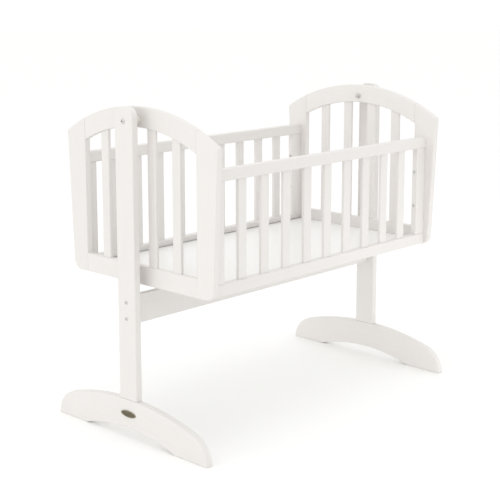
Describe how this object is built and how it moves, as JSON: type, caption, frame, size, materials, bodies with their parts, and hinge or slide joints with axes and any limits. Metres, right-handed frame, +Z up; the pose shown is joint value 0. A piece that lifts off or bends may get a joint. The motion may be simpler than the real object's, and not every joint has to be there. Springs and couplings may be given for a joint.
{
  "type": "swinging crib",
  "caption": "White painted slatted wooden crib with arched end panels that swings on pivots between the posts of a stand with arched feet.",
  "frame": {"origin": "on the floor, in the middle of the stand's footprint", "axes": "+X along the crib towards its right end, +Y across it towards the back, +Z up"},
  "size_m": [1.0422, 0.5918, 0.886],
  "materials": {
    "white_wood": "satin white lacquer on solid wood",
    "white_board": "white melamine-faced board",
    "zinc_steel": "zinc plated",
    "nylon": "moulded nylon",
    "bronze": "dark bronze, blank"
  },
  "bodies": {
    "stand": {"left_post": "white_wood", "right_post": "white_wood", "left_foot": "white_wood", "right_foot": "white_wood", "stretcher": "white_wood", "stretcher_bolts": "zinc_steel", "stretcher_barrel_nuts": "zinc_steel", "foot_bolts": "zinc_steel", "foot_bolt_inserts": "zinc_steel", "pivot_bolts": "zinc_steel", "pivot_spacers": "nylon", "pivot_washers": "zinc_steel", "pivot_lock_nuts": "zinc_steel", "badge_plate": "bronze"},
    "crib": {"left_end_front_stile": "white_wood", "left_end_back_stile": "white_wood", "right_end_front_stile": "white_wood", "right_end_back_stile": "white_wood", "left_end_arch_rail": "white_wood", "right_end_arch_rail": "white_wood", "left_end_bottom_rail": "white_wood", "right_end_bottom_rail": "white_wood", "left_end_slat_1": "white_wood", "left_end_slat_2": "white_wood", "left_end_slat_3": "white_wood", "left_end_slat_4": "white_wood", "right_end_slat_1": "white_wood", "right_end_slat_2": "white_wood", "right_end_slat_3": "white_wood", "right_end_slat_4": "white_wood", "front_side_top_rail": "white_wood", "back_side_top_rail": "white_wood", "front_side_bottom_rail": "white_wood", "back_side_bottom_rail": "white_wood", "front_side_left_stile": "white_wood", "front_side_right_stile": "white_wood", "back_side_left_stile": "white_wood", "back_side_right_stile": "white_wood", "front_side_slat_1": "white_wood", "front_side_slat_2": "white_wood", "front_side_slat_3": "white_wood", "front_side_slat_4": "white_wood", "front_side_slat_5": "white_wood", "front_side_slat_6": "white_wood", "front_side_slat_7": "white_wood", "front_side_slat_8": "white_wood", "front_side_slat_9": "white_wood", "back_side_slat_1": "white_wood", "back_side_slat_2": "white_wood", "back_side_slat_3": "white_wood", "back_side_slat_4": "white_wood", "back_side_slat_5": "white_wood", "back_side_slat_6": "white_wood", "back_side_slat_7": "white_wood", "back_side_slat_8": "white_wood", "back_side_slat_9": "white_wood", "base_board": "white_board", "side_bolts": "zinc_steel", "side_bolt_inserts": "zinc_steel", "pivot_bushes": "nylon"}
  },
  "joints": [
    {"name": "crib_swing", "type": "hinge", "parent": "stand", "child": "crib", "pos_m": [0, 0, 0.85], "axis": [1, 0, 0], "range_deg": [-15, 15]}
  ]
}
